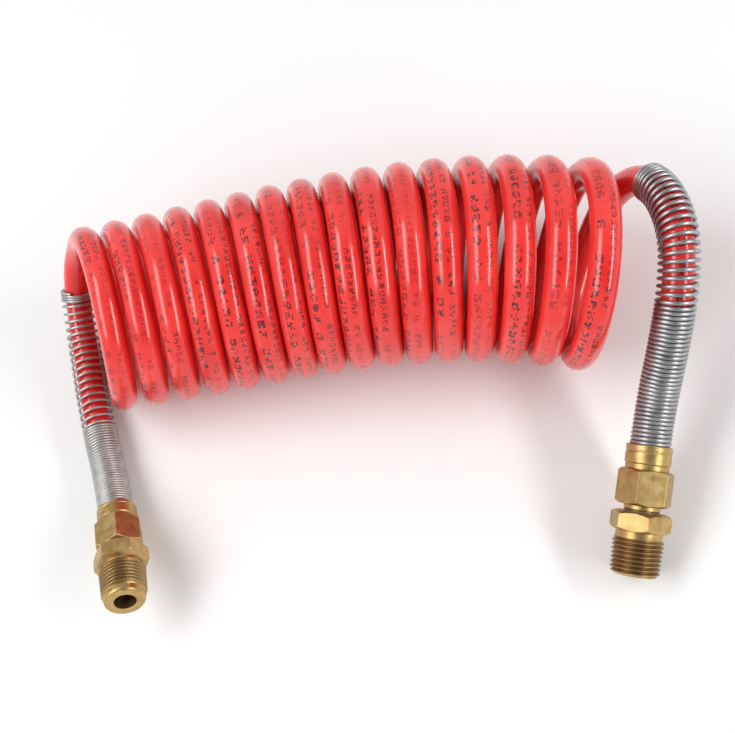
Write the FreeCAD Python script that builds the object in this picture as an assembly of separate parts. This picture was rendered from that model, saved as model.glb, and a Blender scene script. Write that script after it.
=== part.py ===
"""Coiled air-brake hose assembly: a nylon coil with a spring-guarded end fitting at each end.

Units are millimetres, +Z is up and the assembly lies on the plane Z = 0.  The coil's axis runs
along X.  Both leads run forwards, towards -Y.  The origin is under the middle of the box round the
two guarded ends, on the plane they lie on.

Every end fitting is drawn along its own axis first.  A height on that axis is the distance back
from the mouth of the pipe thread, so the thread starts at 0 and the hose lies at the far end.
"""
import FreeCAD, Part

import math
import os

V = FreeCAD.Vector

# Hose: half-inch nylon tube.
TUBE_OD = 12.7
TUBE_ID = 9.55
TUBE_R = TUBE_OD / 2

# Coil: sixteen turns lying on the floor.  A turn's number runs from FIRST_TURN to LAST_TURN.
COIL_RADIUS = 38.5
MIDDLE_TURN = 8.0
FIRST_TURN = 0.2625
LAST_TURN = 16.15
POINTS_PER_TURN = 16
PITCH = 14.46
PITCH_SKEW = -0.38
PITCH_SPREAD = 1.02
BOW_LINEAR = 7.6
BOW_SQUARE = -9.6
BOW_CUBE = -7.6
YAW_LEAN = (0.12, -0.23, -0.03)
TOP_LEAN = (-0.255, 0.12, -0.215)
COIL_SECTIONS = 7
COIL_START_TURN = 0.74
COIL_END_TURN = 15.62

# End fittings: where each pipe thread's mouth is, and which way it points.
LEFT_MOUTH = V(-95.0, -144.5, 32.9)
LEFT_HEADING = -67.0
LEFT_RISE = 22.0
RIGHT_MOUTH = V(124.1, -135.8, 9.6)
RIGHT_HEADING = -102.0
RIGHT_RISE = -16.0
LEFT_STRAIGHT_TO = 64.0
RIGHT_STRAIGHT_TO = 66.4

# Leads: the bends between each fitting and the coil, picked to lie the way the hose lies.
LEFT_BENDS = [
    V(-132.9, -49.3, 9.1),
    V(-144.2, -8.5, 9.3),
    V(-144.0, 13.8, 21.7),
    V(-139.8, 24.6, 32.9),
]
RIGHT_BENDS = [
    V(127.7, 28.6, 33.9),
    V(136.7, 27.6, 48.2),
    V(144.2, 19.6, 59.9),
    V(150.0, 5.8, 66.8),
    V(152.9, -12.7, 67.3),
    V(150.5, -30.7, 58.8),
    V(145.8, -48.2, 46.1),
]
ORIGIN = V(4.1, -61.8, 0.0)

# Spring guards.
GUARD_OD = 17.0
GUARD_ID = 13.8
GUARD_START = 45.5
RIGHT_GUARD_TRIM = 8

# Pipe thread, half-inch NPT: 1 in 16 taper on the diameter.
THREAD_LENGTH = 17.5
THREAD_BASE_R = 10.67
THREAD_TAPER = 1.0 / 32.0
THREAD_CHAMFER = 1.0
RELIEF_R = 9.6
HEX_CHAMFER = 1.4
BODY_AF = 22.2

# Compression joint, the same at both ends.
NUT_AF = 20.6
NUT_REAR = 43.8
NUT_BORE_R = 8.75
NUT_HOLE_R = 6.5
BODY_THREAD_R = 8.7
BODY_REAR = 38.3
SEAT_R = 6.42
SEAT_MOUTH_R = 7.6
SEAT_DEPTH = 2.2
FERRULE_R = 7.5
FERRULE_BORE_R = TUBE_R + 0.03
SPIGOT_R = 8.2
COLLAR_R = 9.45
COLLAR_NECK_R = 8.95
COLLAR_BORE_R = 8.75
COLLAR_REAR = 54.0
INSERT_FLANGE = 0.8
INSERT_LENGTH = 14.5
INSERT_R = 4.74
INSERT_BORE_R = 4.15

# Left end, rigid.
LEFT_HEX = (19.0, 28.0)
LEFT_HEX_TURN = 40.5
LEFT_NUT_FRONT = 28.7
LEFT_NUT_TURN = 16.5
LEFT_TUBE_STOP = 29.5
LEFT_BORE_R = 5.0

# Right end, live swivel.
RIGHT_HEX = (18.2, 26.0)
RIGHT_HEX_TURN = 36.2
RIGHT_NUT_FRONT = 29.0
RIGHT_NUT_TURN = 6.7
RIGHT_TUBE_STOP = 35.3
RIGHT_BORE_R = 4.4
JOURNAL_R = 6.25
JOURNAL_END = 33.9
BEARING_R = 6.32
NOSE_FRONT = 26.8
NOSE_R = 7.5
BEARING_END = 34.2
RING_GROOVE = (32.3, 33.3)
RING_R = (5.55, 6.75)
O_RING_HEIGHTS = (28.2, 30.7)
O_RING_R = 0.58
O_RING_CENTRE_R = 5.71
O_GROOVE_R = 5.1
O_GROOVE_WIDTH = 1.8
WASHER = (26.0, 26.5)
WASHER_R = (6.32, 7.4)

SMALLEST = 1e-6


def turn_frame(turn):
    """Centre of the coil at a turn's number, and its ring's axis, upward and backward directions."""
    u = (turn - MIDDLE_TURN) / MIDDLE_TURN
    along = (turn - MIDDLE_TURN) * (PITCH + PITCH_SKEW * u + PITCH_SPREAD * u * u)
    across = BOW_LINEAR * u + BOW_SQUARE * u ** 2 + BOW_CUBE * u ** 3
    yaw = YAW_LEAN[0] + YAW_LEAN[1] * u + YAW_LEAN[2] * u * u
    top = TOP_LEAN[0] + TOP_LEAN[1] * u + TOP_LEAN[2] * u * u
    normal = V(1.0, yaw, top).normalize()
    up = V(0, 0, 1) - normal * normal.z
    up.normalize()
    back = up.cross(normal)
    centre = V(along, across, TUBE_R + COIL_RADIUS * up.z)
    return centre, normal, up, back


def coil_point(turn):
    """A point of the coil's route.  It stands out so that the rounded route has the true radius."""
    centre, _, up, back = turn_frame(turn)
    angle = 2 * math.pi * turn
    step = 2 * math.pi / POINTS_PER_TURN
    radius = COIL_RADIUS / ((1 + math.cos(step)) / 2)
    return centre + back * (radius * math.sin(angle)) - up * (radius * math.cos(angle))


def coil_points():
    """Every point of the coil's route, from the first turn to the last."""
    count = int(round((LAST_TURN - FIRST_TURN) * POINTS_PER_TURN))
    step = (LAST_TURN - FIRST_TURN) / count
    return [coil_point(FIRST_TURN + step * i) for i in range(count + 1)]


def pointing(heading, rise):
    """The direction in which a fitting's mouth points."""
    h = math.radians(heading)
    r = math.radians(rise)
    return V(math.cos(r) * math.cos(h), math.cos(r) * math.sin(h), math.sin(r))


LEFT_WAY = pointing(LEFT_HEADING, LEFT_RISE)
RIGHT_WAY = pointing(RIGHT_HEADING, RIGHT_RISE)


def on_axis(side, height):
    """The point at a height on one fitting's axis."""
    if side == "left":
        return LEFT_MOUTH - LEFT_WAY * height
    return RIGHT_MOUTH - RIGHT_WAY * height


def tube_end(side):
    """Height at which the hose ends inside a fitting, against the insert's flange."""
    stop = LEFT_TUBE_STOP if side == "left" else RIGHT_TUBE_STOP
    return stop + INSERT_FLANGE


def corner_radii(points):
    """The bend radius at each inner point: 0.45 of the shorter run over tan(half the turn)."""
    radii = []
    for before, here, after in zip(points, points[1:], points[2:]):
        run_in = here - before
        run_out = after - here
        half_turn = run_in.getAngle(run_out) / 2
        radii.append(0.45 * min(run_in.Length, run_out.Length) / math.tan(half_turn))
    return radii


def bent_path(points, radii):
    """Straight runs joined by tangent arcs, as one wire."""
    edges = []
    start = points[0]
    for before, here, after, radius in zip(points, points[1:], points[2:], radii):
        way_in = (here - before).normalize()
        way_out = (after - here).normalize()
        half_turn = way_in.getAngle(way_out) / 2
        reach = radius * math.tan(half_turn)
        arc_start = here - way_in * reach
        arc_end = here + way_out * reach
        bisector = (way_out - way_in).normalize()
        centre = here + bisector * (radius / math.cos(half_turn))
        arc_middle = centre - bisector * radius
        if start.distanceToPoint(arc_start) > SMALLEST:
            edges.append(Part.LineSegment(start, arc_start).toShape())
        edges.append(Part.Arc(arc_start, arc_middle, arc_end).toShape())
        start = arc_end
    edges.append(Part.LineSegment(start, points[-1]).toShape())
    return Part.Wire(edges)


def disc_wire(centre, way, radius):
    """A circle across a path's start."""
    return Part.Wire([Part.makeCircle(radius, centre, way)])


def pipe_along(points, radii, outer, inner):
    """A hollow tube along a bent path."""
    path = bent_path(points, radii)
    way = points[1] - points[0]
    skins = []
    for radius in (outer, inner):
        skins.append(path.makePipeShell([disc_wire(points[0], way, radius)], True, True))
    return skins[0].cut(skins[1])


def report_tube(name, points, radii, solid, outer, inner):
    """Print a tube's bends and compare its volume with its section times its length."""
    length = bent_path(points, radii).Length
    section = math.pi * (outer ** 2 - inner ** 2)
    bends = ", ".join("%.0f" % radius for radius in radii)
    print("%s: length %.0f, radii %s" % (name, length, bends))
    print("  volume over section x length: %.4f" % (solid.Volume / (section * length)))


def left_route():
    """The left lead's route, from the tube's end in the fitting to the coil."""
    fitting = [on_axis("left", tube_end("left")), on_axis("left", LEFT_STRAIGHT_TO)]
    return fitting + LEFT_BENDS + coil_points()[:2]


def right_route():
    """The right lead's route, from the tube's end in the fitting to the coil."""
    fitting = [on_axis("right", tube_end("right")), on_axis("right", RIGHT_STRAIGHT_TO)]
    return fitting + RIGHT_BENDS[::-1] + coil_points()[:-3:-1]


def lead(name, route):
    """One lead: the hose between a fitting and the coil."""
    radii = corner_radii(route)
    solid = pipe_along(route, radii, TUBE_R, TUBE_ID / 2)
    report_tube(name, route, radii, solid, TUBE_R, TUBE_ID / 2)
    return solid


def guard(name, side, route, last_bend, trim=0):
    """One spring guard, as the sleeve that the wire fills, ending in the run past last_bend.

    trim is a whole number of millimetres that is cut off its end.
    """
    radii = corner_radii(route)[:last_bend]
    end = (route[last_bend] + route[last_bend + 1]) * 0.5
    points = [on_axis(side, GUARD_START)] + route[1:last_bend + 1] + [end]
    solid = pipe_along(points, radii, GUARD_OD / 2, GUARD_ID / 2)
    report_tube(name, points, radii, solid, GUARD_OD / 2, GUARD_ID / 2)
    if trim:
        spots = bent_path(points, radii).discretize(Distance=1.0)
        way = spots[-trim] - spots[-trim - 2]
        solid = solid.cut(Part.makeCylinder(GUARD_OD, 3 * trim, spots[-trim - 1], way))
    return solid


def coil_ring(turn, radius):
    """A circle about the coil's centre at one turn, which leans as that turn does."""
    centre, normal, up, back = turn_frame(turn)
    circle = Part.makeCircle(radius)
    circle.Placement = FreeCAD.Placement(centre, FreeCAD.Rotation(back, up, normal, "ZXY"))
    return Part.Wire([circle])


def coil_skin(radius):
    """The solid inside one radius of the coil, lofted through its leaning rings."""
    step = (COIL_END_TURN - COIL_START_TURN) / (COIL_SECTIONS - 1)
    rings = [coil_ring(COIL_START_TURN + step * i, radius) for i in range(COIL_SECTIONS)]
    return Part.makeLoft(rings, True, False)


def hose_coil():
    """The coil's outer shape: one thick tube that holds every turn."""
    outer = coil_skin(COIL_RADIUS + TUBE_R)
    inner = coil_skin(COIL_RADIUS - TUBE_R)
    return outer.cut(inner)


def turned(profile):
    """A solid turned about the fitting's axis from (radius, height) corners."""
    corners = [V(r, 0, h) for r, h in profile]
    face = Part.Face(Part.makePolygon(corners + corners[:1]))
    return face.revolve(V(0, 0, 0), V(0, 0, 1), 360)


def hexagon(across_flats, low, high, turn):
    """A hexagonal prism with chamfered corners at both ends."""
    corner_r = across_flats / math.sqrt(3)
    corners = []
    for i in range(6):
        angle = math.radians(60 * i + turn)
        corners.append(V(corner_r * math.cos(angle), corner_r * math.sin(angle), low))
    prism = Part.Face(Part.makePolygon(corners + corners[:1])).extrude(V(0, 0, high - low))
    flat_r = across_flats / 2 - 0.4
    barrel = turned([
        (0, low),
        (flat_r, low),
        (flat_r + HEX_CHAMFER * math.sqrt(3), low + HEX_CHAMFER),
        (flat_r + HEX_CHAMFER * math.sqrt(3), high - HEX_CHAMFER),
        (flat_r, high),
        (0, high),
    ])
    return prism.common(barrel)


def pipe_thread():
    """The tapered thread's solid, on its major diameter, with a chamfered mouth."""
    mouth_r = THREAD_BASE_R - THREAD_LENGTH * THREAD_TAPER
    return turned([
        (0, 0),
        (mouth_r - THREAD_CHAMFER, 0),
        (mouth_r, THREAD_CHAMFER),
        (THREAD_BASE_R, THREAD_LENGTH),
        (0, THREAD_LENGTH),
    ])


def seat_cutter(tube_stop, bore_r):
    """The passage, tube socket and ferrule seat, as one solid to cut away."""
    return turned([
        (0, -1),
        (bore_r, -1),
        (bore_r, tube_stop),
        (SEAT_R, tube_stop),
        (SEAT_R, BODY_REAR - SEAT_DEPTH),
        (SEAT_MOUTH_R, BODY_REAR),
        (SEAT_MOUTH_R, BODY_REAR + 1),
        (0, BODY_REAR + 1),
    ])


def connector_body():
    """Left end: male pipe thread, hexagon and compression thread in one piece."""
    relief = turned([
        (0, THREAD_LENGTH),
        (RELIEF_R, THREAD_LENGTH),
        (RELIEF_R, LEFT_HEX[0]),
        (0, LEFT_HEX[0]),
    ])
    shank = turned([
        (0, LEFT_HEX[1]),
        (BODY_THREAD_R, LEFT_HEX[1]),
        (BODY_THREAD_R, BODY_REAR),
        (0, BODY_REAR),
    ])
    hexa = hexagon(BODY_AF, LEFT_HEX[0], LEFT_HEX[1], LEFT_HEX_TURN)
    solid = pipe_thread().fuse([relief, hexa, shank])
    return solid.cut(seat_cutter(LEFT_TUBE_STOP, LEFT_BORE_R)).removeSplitter()


def compression_nut(front, turn):
    """The nut that closes the ferrule, with the spigot that its guard collar sits on."""
    outside = hexagon(NUT_AF, front, NUT_REAR, turn)
    spigot = turned([
        (0, NUT_REAR),
        (SPIGOT_R, NUT_REAR),
        (SPIGOT_R, GUARD_START),
        (0, GUARD_START),
    ])
    passage = turned([
        (0, front - 1),
        (NUT_BORE_R, front - 1),
        (NUT_BORE_R, BODY_REAR + 1.0),
        (7.75, BODY_REAR + 1.3),
        (NUT_HOLE_R + 0.1, BODY_REAR + 3.4),
        (NUT_HOLE_R, BODY_REAR + 3.6),
        (NUT_HOLE_R, GUARD_START + 1),
        (0, GUARD_START + 1),
    ])
    return outside.fuse(spigot).cut(passage).removeSplitter()


def guard_collar():
    """The ring that holds the spring guard's end on the nut, with a groove round it."""
    groove = COLLAR_REAR - 3.2
    return turned([
        (SPIGOT_R, NUT_REAR),
        (COLLAR_NECK_R, NUT_REAR),
        (COLLAR_NECK_R, NUT_REAR + 2.2),
        (COLLAR_R, NUT_REAR + 2.6),
        (COLLAR_R, groove),
        (COLLAR_R - 0.2, groove + 0.2),
        (COLLAR_R - 0.2, groove + 0.6),
        (COLLAR_R, groove + 0.8),
        (COLLAR_R, COLLAR_REAR - 0.5),
        (COLLAR_R - 0.3, COLLAR_REAR),
        (COLLAR_BORE_R, COLLAR_REAR),
        (COLLAR_BORE_R, GUARD_START),
        (SPIGOT_R, GUARD_START),
    ])


def ferrule():
    """The compression sleeve between the body's seat and the nut."""
    return turned([
        (FERRULE_BORE_R, BODY_REAR - 1.8),
        (6.6, BODY_REAR - 1.8),
        (FERRULE_R, BODY_REAR - 0.05),
        (FERRULE_R, BODY_REAR + 1.4),
        (6.75, BODY_REAR + 3.1),
        (FERRULE_BORE_R, BODY_REAR + 3.1),
    ])


def tube_insert(tube_stop):
    """The sleeve that stops the nylon tube from closing under the ferrule."""
    flange_end = tube_stop + INSERT_FLANGE
    return turned([
        (INSERT_BORE_R, tube_stop),
        (TUBE_R - 0.1, tube_stop),
        (TUBE_R - 0.1, flange_end),
        (INSERT_R, flange_end),
        (INSERT_R, flange_end + INSERT_LENGTH),
        (INSERT_BORE_R, flange_end + INSERT_LENGTH),
    ])


def swivel_body():
    """Right end: the sleeve screwed into the nut, in which the stem turns."""
    shape = turned([
        (0, NOSE_FRONT),
        (NOSE_R - 0.4, NOSE_FRONT),
        (NOSE_R, NOSE_FRONT + 0.4),
        (NOSE_R, RIGHT_NUT_FRONT),
        (BODY_THREAD_R, RIGHT_NUT_FRONT + 0.4),
        (BODY_THREAD_R, BODY_REAR),
        (0, BODY_REAR),
    ])
    bearing = turned([
        (0, NOSE_FRONT - 1),
        (BEARING_R, NOSE_FRONT - 1),
        (BEARING_R, RING_GROOVE[0]),
        (RING_R[1] + 0.05, RING_GROOVE[0]),
        (RING_R[1] + 0.05, RING_GROOVE[1]),
        (BEARING_R, RING_GROOVE[1]),
        (BEARING_R, BEARING_END),
        (0, BEARING_END),
    ])
    return shape.cut(bearing).cut(seat_cutter(RIGHT_TUBE_STOP, RIGHT_BORE_R))


def stem_profile():
    """The journal's outline, with grooves for two O-rings and the retaining ring."""
    outline = [(0, RIGHT_HEX[1] - 0.5), (JOURNAL_R, RIGHT_HEX[1] - 0.5)]
    for height in O_RING_HEIGHTS:
        low = height - O_GROOVE_WIDTH / 2
        high = height + O_GROOVE_WIDTH / 2
        outline += [(JOURNAL_R, low), (O_GROOVE_R, low), (O_GROOVE_R, high), (JOURNAL_R, high)]
    ring_low = RING_GROOVE[0] - 0.2
    ring_high = RING_GROOVE[1] + 0.2
    ring_r = RING_R[0] - 0.15
    outline += [(JOURNAL_R, ring_low), (ring_r, ring_low), (ring_r, ring_high)]
    outline += [(JOURNAL_R - 0.3, ring_high), (JOURNAL_R - 0.5, JOURNAL_END), (0, JOURNAL_END)]
    return outline


def swivel_stem():
    """Right end: the turning stem, with its pipe thread, hexagon and journal."""
    relief = turned([
        (0, THREAD_LENGTH),
        (RELIEF_R, THREAD_LENGTH),
        (RELIEF_R, RIGHT_HEX[0]),
        (0, RIGHT_HEX[0]),
    ])
    hexa = hexagon(BODY_AF, RIGHT_HEX[0], RIGHT_HEX[1], RIGHT_HEX_TURN)
    solid = pipe_thread().fuse([relief, hexa, turned(stem_profile())])
    bore = Part.makeCylinder(RIGHT_BORE_R, JOURNAL_END + 2, V(0, 0, -1), V(0, 0, 1))
    return solid.cut(bore).removeSplitter()


def o_ring(height):
    """One swivel seal, drawn squeezed to its groove."""
    return Part.makeTorus(O_RING_CENTRE_R, O_RING_R, V(0, 0, height), V(0, 0, 1))


def flat_ring(radii, heights):
    """A plain washer or ring."""
    return turned([
        (radii[0], heights[0]),
        (radii[1], heights[0]),
        (radii[1], heights[1]),
        (radii[0], heights[1]),
    ])


def retaining_ring():
    """The ring that keeps the stem in the swivel body."""
    return flat_ring(RING_R, (RING_GROOVE[0] + 0.05, RING_GROOVE[1] - 0.05))


def placed(solid, side):
    """Move a fitting's piece from its own axis to its end of the hose."""
    mouth = on_axis(side, 0)
    way = LEFT_WAY if side == "left" else RIGHT_WAY
    moved = solid.copy()
    moved.Placement = FreeCAD.Placement(mouth, FreeCAD.Rotation(V(0, 0, 1), way * -1))
    return moved


def left_end():
    """Every piece of the rigid left end."""
    pieces = {
        "left_connector_body": connector_body(),
        "left_compression_nut": compression_nut(LEFT_NUT_FRONT, LEFT_NUT_TURN),
        "left_guard_collar": guard_collar(),
        "left_ferrule": ferrule(),
        "left_tube_insert": tube_insert(LEFT_TUBE_STOP),
    }
    return {name: placed(solid, "left") for name, solid in pieces.items()}


def right_end():
    """Every piece of the swivelling right end."""
    pieces = {
        "right_swivel_stem": swivel_stem(),
        "right_swivel_body": swivel_body(),
        "right_front_o_ring": o_ring(O_RING_HEIGHTS[0]),
        "right_rear_o_ring": o_ring(O_RING_HEIGHTS[1]),
        "right_retaining_ring": retaining_ring(),
        "right_thrust_washer": flat_ring(WASHER_R, WASHER),
        "right_compression_nut": compression_nut(RIGHT_NUT_FRONT, RIGHT_NUT_TURN),
        "right_guard_collar": guard_collar(),
        "right_ferrule": ferrule(),
        "right_tube_insert": tube_insert(RIGHT_TUBE_STOP),
    }
    return {name: placed(solid, "right") for name, solid in pieces.items()}


def all_pieces():
    """Every node of the assembly, by name."""
    pieces = {
        "hose_coil": hose_coil(),
        "hose_lead_left": lead("left lead", left_route()),
        "hose_lead_right": lead("right lead", right_route()),
        "left_spring_guard": guard("left guard", "left", left_route(), 4),
        "right_spring_guard": guard("right guard", "right", right_route(), 6, RIGHT_GUARD_TRIM),
    }
    pieces.update(left_end())
    pieces.update(right_end())
    return pieces


def main():
    os.makedirs("parts", exist_ok=True)
    for name, solid in all_pieces().items():
        solid.translate(ORIGIN * -1)
        box = solid.BoundBox
        print("%-22s valid %s solids %d volume %9.1f  x %7.1f %7.1f  y %7.1f %7.1f  z %6.2f %6.2f" % (
            name, solid.isValid(), len(solid.Solids), solid.Volume,
            box.XMin, box.XMax, box.YMin, box.YMax, box.ZMin, box.ZMax))
        solid.exportStep("parts/%s.step" % name)


main()
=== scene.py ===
"""Looks of a coiled air-brake hose assembly: nylon coil, spring guards and brass end fittings.

Lengths below are in millimetres, as in the CAD model, and turn into metres through MM.  A height on
a fitting is the distance back from the mouth of its pipe thread.
"""

import math

import bmesh
import bpy
import numpy as np
from mathutils import Matrix, Vector


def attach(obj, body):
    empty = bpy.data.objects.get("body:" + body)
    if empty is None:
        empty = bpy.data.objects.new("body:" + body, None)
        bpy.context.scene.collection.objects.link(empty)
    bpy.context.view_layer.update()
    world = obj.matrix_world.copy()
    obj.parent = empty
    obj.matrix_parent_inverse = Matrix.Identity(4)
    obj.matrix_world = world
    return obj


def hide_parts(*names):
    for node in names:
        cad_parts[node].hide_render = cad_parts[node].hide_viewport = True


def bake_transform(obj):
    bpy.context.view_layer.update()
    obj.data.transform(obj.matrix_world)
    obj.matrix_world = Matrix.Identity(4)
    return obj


MM = 0.001
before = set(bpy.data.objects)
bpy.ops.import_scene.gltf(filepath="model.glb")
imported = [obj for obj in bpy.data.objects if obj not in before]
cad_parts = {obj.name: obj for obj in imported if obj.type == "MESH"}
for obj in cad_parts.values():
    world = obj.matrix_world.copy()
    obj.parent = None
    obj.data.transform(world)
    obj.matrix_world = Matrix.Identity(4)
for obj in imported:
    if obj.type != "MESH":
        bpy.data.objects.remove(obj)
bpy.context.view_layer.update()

# ---------------------------------------------------------------- sizes, as in the CAD model
ORIGIN = Vector((4.1, -61.8, 0.0))
TUBE_R = 6.35
TUBE_BORE_R = 4.775
COIL_RADIUS = 38.5
MIDDLE_TURN = 8.0
FIRST_TURN = 0.2625
LAST_TURN = 16.15
POINTS_PER_TURN = 16
PITCH = 14.46
PITCH_SKEW = -0.38
PITCH_SPREAD = 1.02
BOW = (7.6, -9.6, -7.6)
YAW_LEAN = (0.12, -0.23, -0.03)
TOP_LEAN = (-0.255, 0.12, -0.215)

MOUTH = {"left": Vector((-95.0, -144.5, 32.9)), "right": Vector((124.1, -135.8, 9.6))}
HEADING = {"left": -67.0, "right": -102.0}
RISE = {"left": 22.0, "right": -16.0}
STRAIGHT_TO = {"left": 64.0, "right": 66.4}
TUBE_END = {"left": 30.3, "right": 36.1}
LEFT_BENDS = [
    Vector((-132.9, -49.3, 9.1)),
    Vector((-144.2, -8.5, 9.3)),
    Vector((-144.0, 13.8, 21.7)),
    Vector((-139.8, 24.6, 32.9)),
]
RIGHT_BENDS = [
    Vector((127.7, 28.6, 33.9)),
    Vector((136.7, 27.6, 48.2)),
    Vector((144.2, 19.6, 59.9)),
    Vector((150.0, 5.8, 66.8)),
    Vector((152.9, -12.7, 67.3)),
    Vector((150.5, -30.7, 58.8)),
    Vector((145.8, -48.2, 46.1)),
]

BODY_AF = 22.2
NUT_AF = 20.6
HEX_CHAMFER = 1.4
BODY_HEX = {"left": (19.0, 28.0), "right": (18.2, 26.0)}
BODY_HEX_TURN = {"left": 40.5, "right": 36.2}
NUT_FRONT = {"left": 28.7, "right": 29.0}
NUT_HEX_TURN = {"left": 16.5, "right": 6.7}
NUT_REAR = 43.8
NUT_BORE_R = 8.75
NUT_HOLE_R = 6.5
NUT_CONE_R = 7.75
NUT_STEPS = (3.6, 3.4, 1.3, 1.0)
BODY_THREAD_R = 8.7
BODY_REAR = 38.3
SEAT_R = 6.42
SEAT_MOUTH_R = 7.6
SEAT_DEPTH = 2.2
SPIGOT_R = 8.2
COLLAR_R = 9.45
COLLAR_NECK_R = 8.95
COLLAR_BORE_R = 8.75
COLLAR_REAR = 54.0
COLLAR_NECK = (2.2, 2.6)
COLLAR_CHAMFER = (0.5, 0.3)
COLLAR_SEAM = 0.3
COLLAR_GROOVE = 3.2
GROOVE_STEPS = (0.0, 0.2, 0.6, 0.8)
GROOVE_DEPTH = 0.2
GUARD_START = 45.5
GUARD_OD = 17.0

THREAD_LENGTH = 17.5
THREAD_BASE_R = 10.67
THREAD_PITCH = 25.4 / 14
THREAD_DEPTH = 1.2
THREAD_TAPER = 1.0 / 32.0
THREAD_FROM = {"left": 3.4, "right": 0.0}
THREAD_TO = {"left": THREAD_LENGTH, "right": THREAD_LENGTH - 2.2}
MOUTH_R = {"left": 9.35, "right": 8.7}
LIP_LENGTH = 1.5
LIP_ROUND = 1.0
RELIEF_R = 9.6
BORE_R = {"left": 5.0, "right": 4.4}
TUBE_STOP = {"left": 29.5, "right": 35.3}

NOSE_FRONT = 26.8
NOSE_R = 7.5
NOSE_CHAMFER = 0.4
BEARING_R = 6.32
BEARING_END = 34.2
JOURNAL_R = 6.25
JOURNAL_END = 33.9
JOURNAL_CHAMFER = (0.3, 0.5)
O_RING_HEIGHTS = (28.2, 30.7)
O_GROOVE_HALF = 0.9
O_GROOVE_R = 5.1
STEM_GROOVE = (32.1, 33.5)
STEM_GROOVE_R = 5.4
SLEEVE_GROOVE = (32.3, 33.3)
SLEEVE_GROOVE_R = 6.8

# ---------------------------------------------------------------- camera
VIEW_TARGET = Vector((12.1, -38.2, 21.2))
VIEW_DISTANCE = 466.4
VIEW_ELEVATION = 65.0
VIEW_AZIMUTH = 34.404
VIEW_ROLL = -36.60
VIEW_LENS = 49.1


def to_scene(point):
    """A point of the part's own millimetres in the scene's metres."""
    return (Vector(point) - ORIGIN) * MM


def view_axes():
    """The camera's right, up and backward directions."""
    elevation = math.radians(VIEW_ELEVATION)
    azimuth = math.radians(VIEW_AZIMUTH)
    roll = math.radians(VIEW_ROLL)
    level = math.cos(elevation)
    back = Vector((math.sin(azimuth) * level, -math.cos(azimuth) * level, math.sin(elevation)))
    flat_right = Vector((0, 0, 1)).cross(back).normalized()
    flat_up = back.cross(flat_right)
    right = flat_right * math.cos(roll) + flat_up * math.sin(roll)
    up = flat_up * math.cos(roll) - flat_right * math.sin(roll)
    return right, up, back


VIEW_RIGHT, VIEW_UP, VIEW_BACK = view_axes()


def axes_matrix(x, y, z, place):
    """A matrix whose columns are three directions and a place."""
    matrix = Matrix((x, y, z)).transposed().to_4x4()
    matrix.translation = place
    return matrix


def make_camera():
    data = bpy.data.cameras.new("camera")
    data.lens = VIEW_LENS
    data.clip_start = 0.01
    camera = bpy.data.objects.new("camera", data)
    place = to_scene(VIEW_TARGET + VIEW_BACK * VIEW_DISTANCE)
    camera.matrix_world = axes_matrix(VIEW_RIGHT, VIEW_UP, VIEW_BACK, place)
    bpy.context.collection.objects.link(camera)
    bpy.context.scene.camera = camera


# ---------------------------------------------------------------- the hose's route
def turn_frame(turn):
    """Centre of the coil at a turn's number, with its ring's upward and backward directions."""
    u = (turn - MIDDLE_TURN) / MIDDLE_TURN
    along = (turn - MIDDLE_TURN) * (PITCH + PITCH_SKEW * u + PITCH_SPREAD * u * u)
    across = BOW[0] * u + BOW[1] * u ** 2 + BOW[2] * u ** 3
    yaw = YAW_LEAN[0] + YAW_LEAN[1] * u + YAW_LEAN[2] * u * u
    top = TOP_LEAN[0] + TOP_LEAN[1] * u + TOP_LEAN[2] * u * u
    normal = Vector((1.0, yaw, top)).normalized()
    up = (Vector((0, 0, 1)) - normal * normal.z).normalized()
    back = up.cross(normal)
    return Vector((along, across, TUBE_R + COIL_RADIUS * up.z)), up, back


def coil_points():
    """Every point of the coil's route.  They stand out so that the rounded route has its radius."""
    radius = COIL_RADIUS / ((1 + math.cos(2 * math.pi / POINTS_PER_TURN)) / 2)
    count = round((LAST_TURN - FIRST_TURN) * POINTS_PER_TURN)
    points = []
    for i in range(count + 1):
        turn = FIRST_TURN + (LAST_TURN - FIRST_TURN) * i / count
        centre, up, back = turn_frame(turn)
        angle = 2 * math.pi * turn
        points.append(centre + back * (radius * math.sin(angle)) - up * (radius * math.cos(angle)))
    return points


def pointing(side):
    """The direction in which a fitting's mouth points."""
    heading = math.radians(HEADING[side])
    rise = math.radians(RISE[side])
    level = math.cos(rise)
    return Vector((level * math.cos(heading), level * math.sin(heading), math.sin(rise)))


def on_axis(side, height):
    """The point at a height on one fitting's axis."""
    return MOUTH[side] - pointing(side) * height


def hose_route():
    """The whole hose's route, from the tube's end in the left fitting to its end in the right."""
    left = [on_axis("left", TUBE_END["left"]), on_axis("left", STRAIGHT_TO["left"])]
    right = [on_axis("right", STRAIGHT_TO["right"]), on_axis("right", TUBE_END["right"])]
    return [to_scene(p) for p in left + LEFT_BENDS + coil_points() + RIGHT_BENDS + right]


def nurbs_line(points, steps):
    """The smooth line of a NURBS spline with these control points."""
    curve = bpy.data.curves.new("line", "CURVE")
    curve.dimensions = "3D"
    spline = curve.splines.new("NURBS")
    spline.points.add(len(points) - 1)
    for spot, point in zip(spline.points, points):
        spot.co = (*point, 1.0)
    spline.order_u = 3
    spline.use_endpoint_u = True
    spline.resolution_u = steps
    holder = bpy.data.objects.new("line", curve)
    mesh = bpy.data.meshes.new_from_object(holder)
    line = np.array([v.co for v in mesh.vertices], float)
    bpy.data.meshes.remove(mesh)
    bpy.data.objects.remove(holder)
    bpy.data.curves.remove(curve)
    return line


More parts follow.
